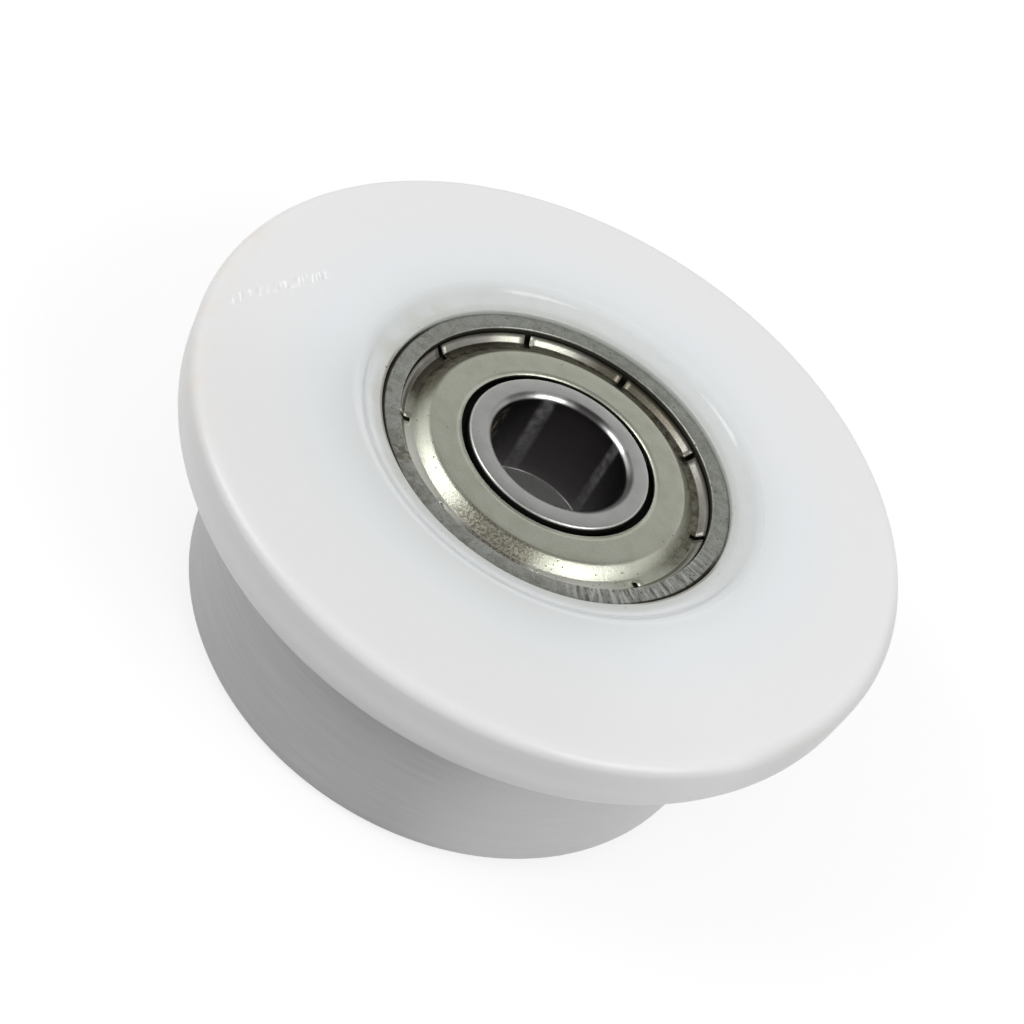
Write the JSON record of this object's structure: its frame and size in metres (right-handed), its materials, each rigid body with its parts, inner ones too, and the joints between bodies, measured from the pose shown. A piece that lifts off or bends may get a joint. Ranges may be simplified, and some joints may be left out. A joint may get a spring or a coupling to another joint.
{
  "type": "rowing machine pulley",
  "caption": "White nylon pulley with one wide flange and a plain tread, turning on a shielded ball bearing pressed into the flange side.",
  "frame": {"origin": "middle of the lower face, on the axle's line", "axes": "+Z along the axle, towards the flange side that holds the bearing"},
  "size_m": [0.052, 0.052, 0.021],
  "materials": {
    "white_nylon": "satin moulded nylon, slightly translucent",
    "ring_steel": "ground bearing steel",
    "shield_steel": "pressed sheet steel with a warm satin finish",
    "cage_steel": "pressed sheet steel",
    "ball_steel": "polished bearing steel"
  },
  "bodies": {
    "inner_ring": {"bearing_inner_ring": "ring_steel"},
    "pulley": {"pulley_body": "white_nylon", "bearing_outer_ring": "ring_steel", "upper_shield": "shield_steel", "lower_shield": "shield_steel"},
    "ball_cage": {"cage_upper_half": "cage_steel", "cage_lower_half": "cage_steel", "cage_rivets": "cage_steel"},
    "rolling_ball_1": {"ball_1": "ball_steel"},
    "rolling_ball_2": {"ball_2": "ball_steel"},
    "rolling_ball_3": {"ball_3": "ball_steel"},
    "rolling_ball_4": {"ball_4": "ball_steel"},
    "rolling_ball_5": {"ball_5": "ball_steel"},
    "rolling_ball_6": {"ball_6": "ball_steel"},
    "rolling_ball_7": {"ball_7": "ball_steel"}
  },
  "joints": [
    {"name": "pulley_spin", "type": "hinge", "parent": "inner_ring", "child": "pulley", "pos_m": [0, 0, 0.01572], "axis": [0, 0, 1], "continuous": true},
    {"name": "cage_orbit", "type": "hinge", "parent": "inner_ring", "child": "ball_cage", "pos_m": [0, 0, 0.01572], "axis": [0, 0, 1], "continuous": true},
    {"name": "ball_1_spin", "type": "hinge", "parent": "ball_cage", "child": "rolling_ball_1", "pos_m": [0.009, 0, 0.01572], "axis": [0, 0, 1], "continuous": true},
    {"name": "ball_2_spin", "type": "hinge", "parent": "ball_cage", "child": "rolling_ball_2", "pos_m": [0.00561, 0.00704, 0.01572], "axis": [0, 0, 1], "continuous": true},
    {"name": "ball_3_spin", "type": "hinge", "parent": "ball_cage", "child": "rolling_ball_3", "pos_m": [-0.002, 0.00877, 0.01572], "axis": [0, 0, 1], "continuous": true},
    {"name": "ball_4_spin", "type": "hinge", "parent": "ball_cage", "child": "rolling_ball_4", "pos_m": [-0.00811, 0.00391, 0.01572], "axis": [0, 0, 1], "continuous": true},
    {"name": "ball_5_spin", "type": "hinge", "parent": "ball_cage", "child": "rolling_ball_5", "pos_m": [-0.00811, -0.00391, 0.01572], "axis": [0, 0, 1], "continuous": true},
    {"name": "ball_6_spin", "type": "hinge", "parent": "ball_cage", "child": "rolling_ball_6", "pos_m": [-0.002, -0.00877, 0.01572], "axis": [0, 0, 1], "continuous": true},
    {"name": "ball_7_spin", "type": "hinge", "parent": "ball_cage", "child": "rolling_ball_7", "pos_m": [0.00561, -0.00704, 0.01572], "axis": [0, 0, 1], "continuous": true}
  ],
  "couplings": [
    {"joint": "cage_orbit", "follows": "pulley_spin", "ratio": 0.63228},
    {"joint": "ball_1_spin", "follows": "pulley_spin", "ratio": 1.7577},
    {"joint": "ball_2_spin", "follows": "pulley_spin", "ratio": 1.7577},
    {"joint": "ball_3_spin", "follows": "pulley_spin", "ratio": 1.7577},
    {"joint": "ball_4_spin", "follows": "pulley_spin", "ratio": 1.7577},
    {"joint": "ball_5_spin", "follows": "pulley_spin", "ratio": 1.7577},
    {"joint": "ball_6_spin", "follows": "pulley_spin", "ratio": 1.7577},
    {"joint": "ball_7_spin", "follows": "pulley_spin", "ratio": 1.7577}
  ]
}
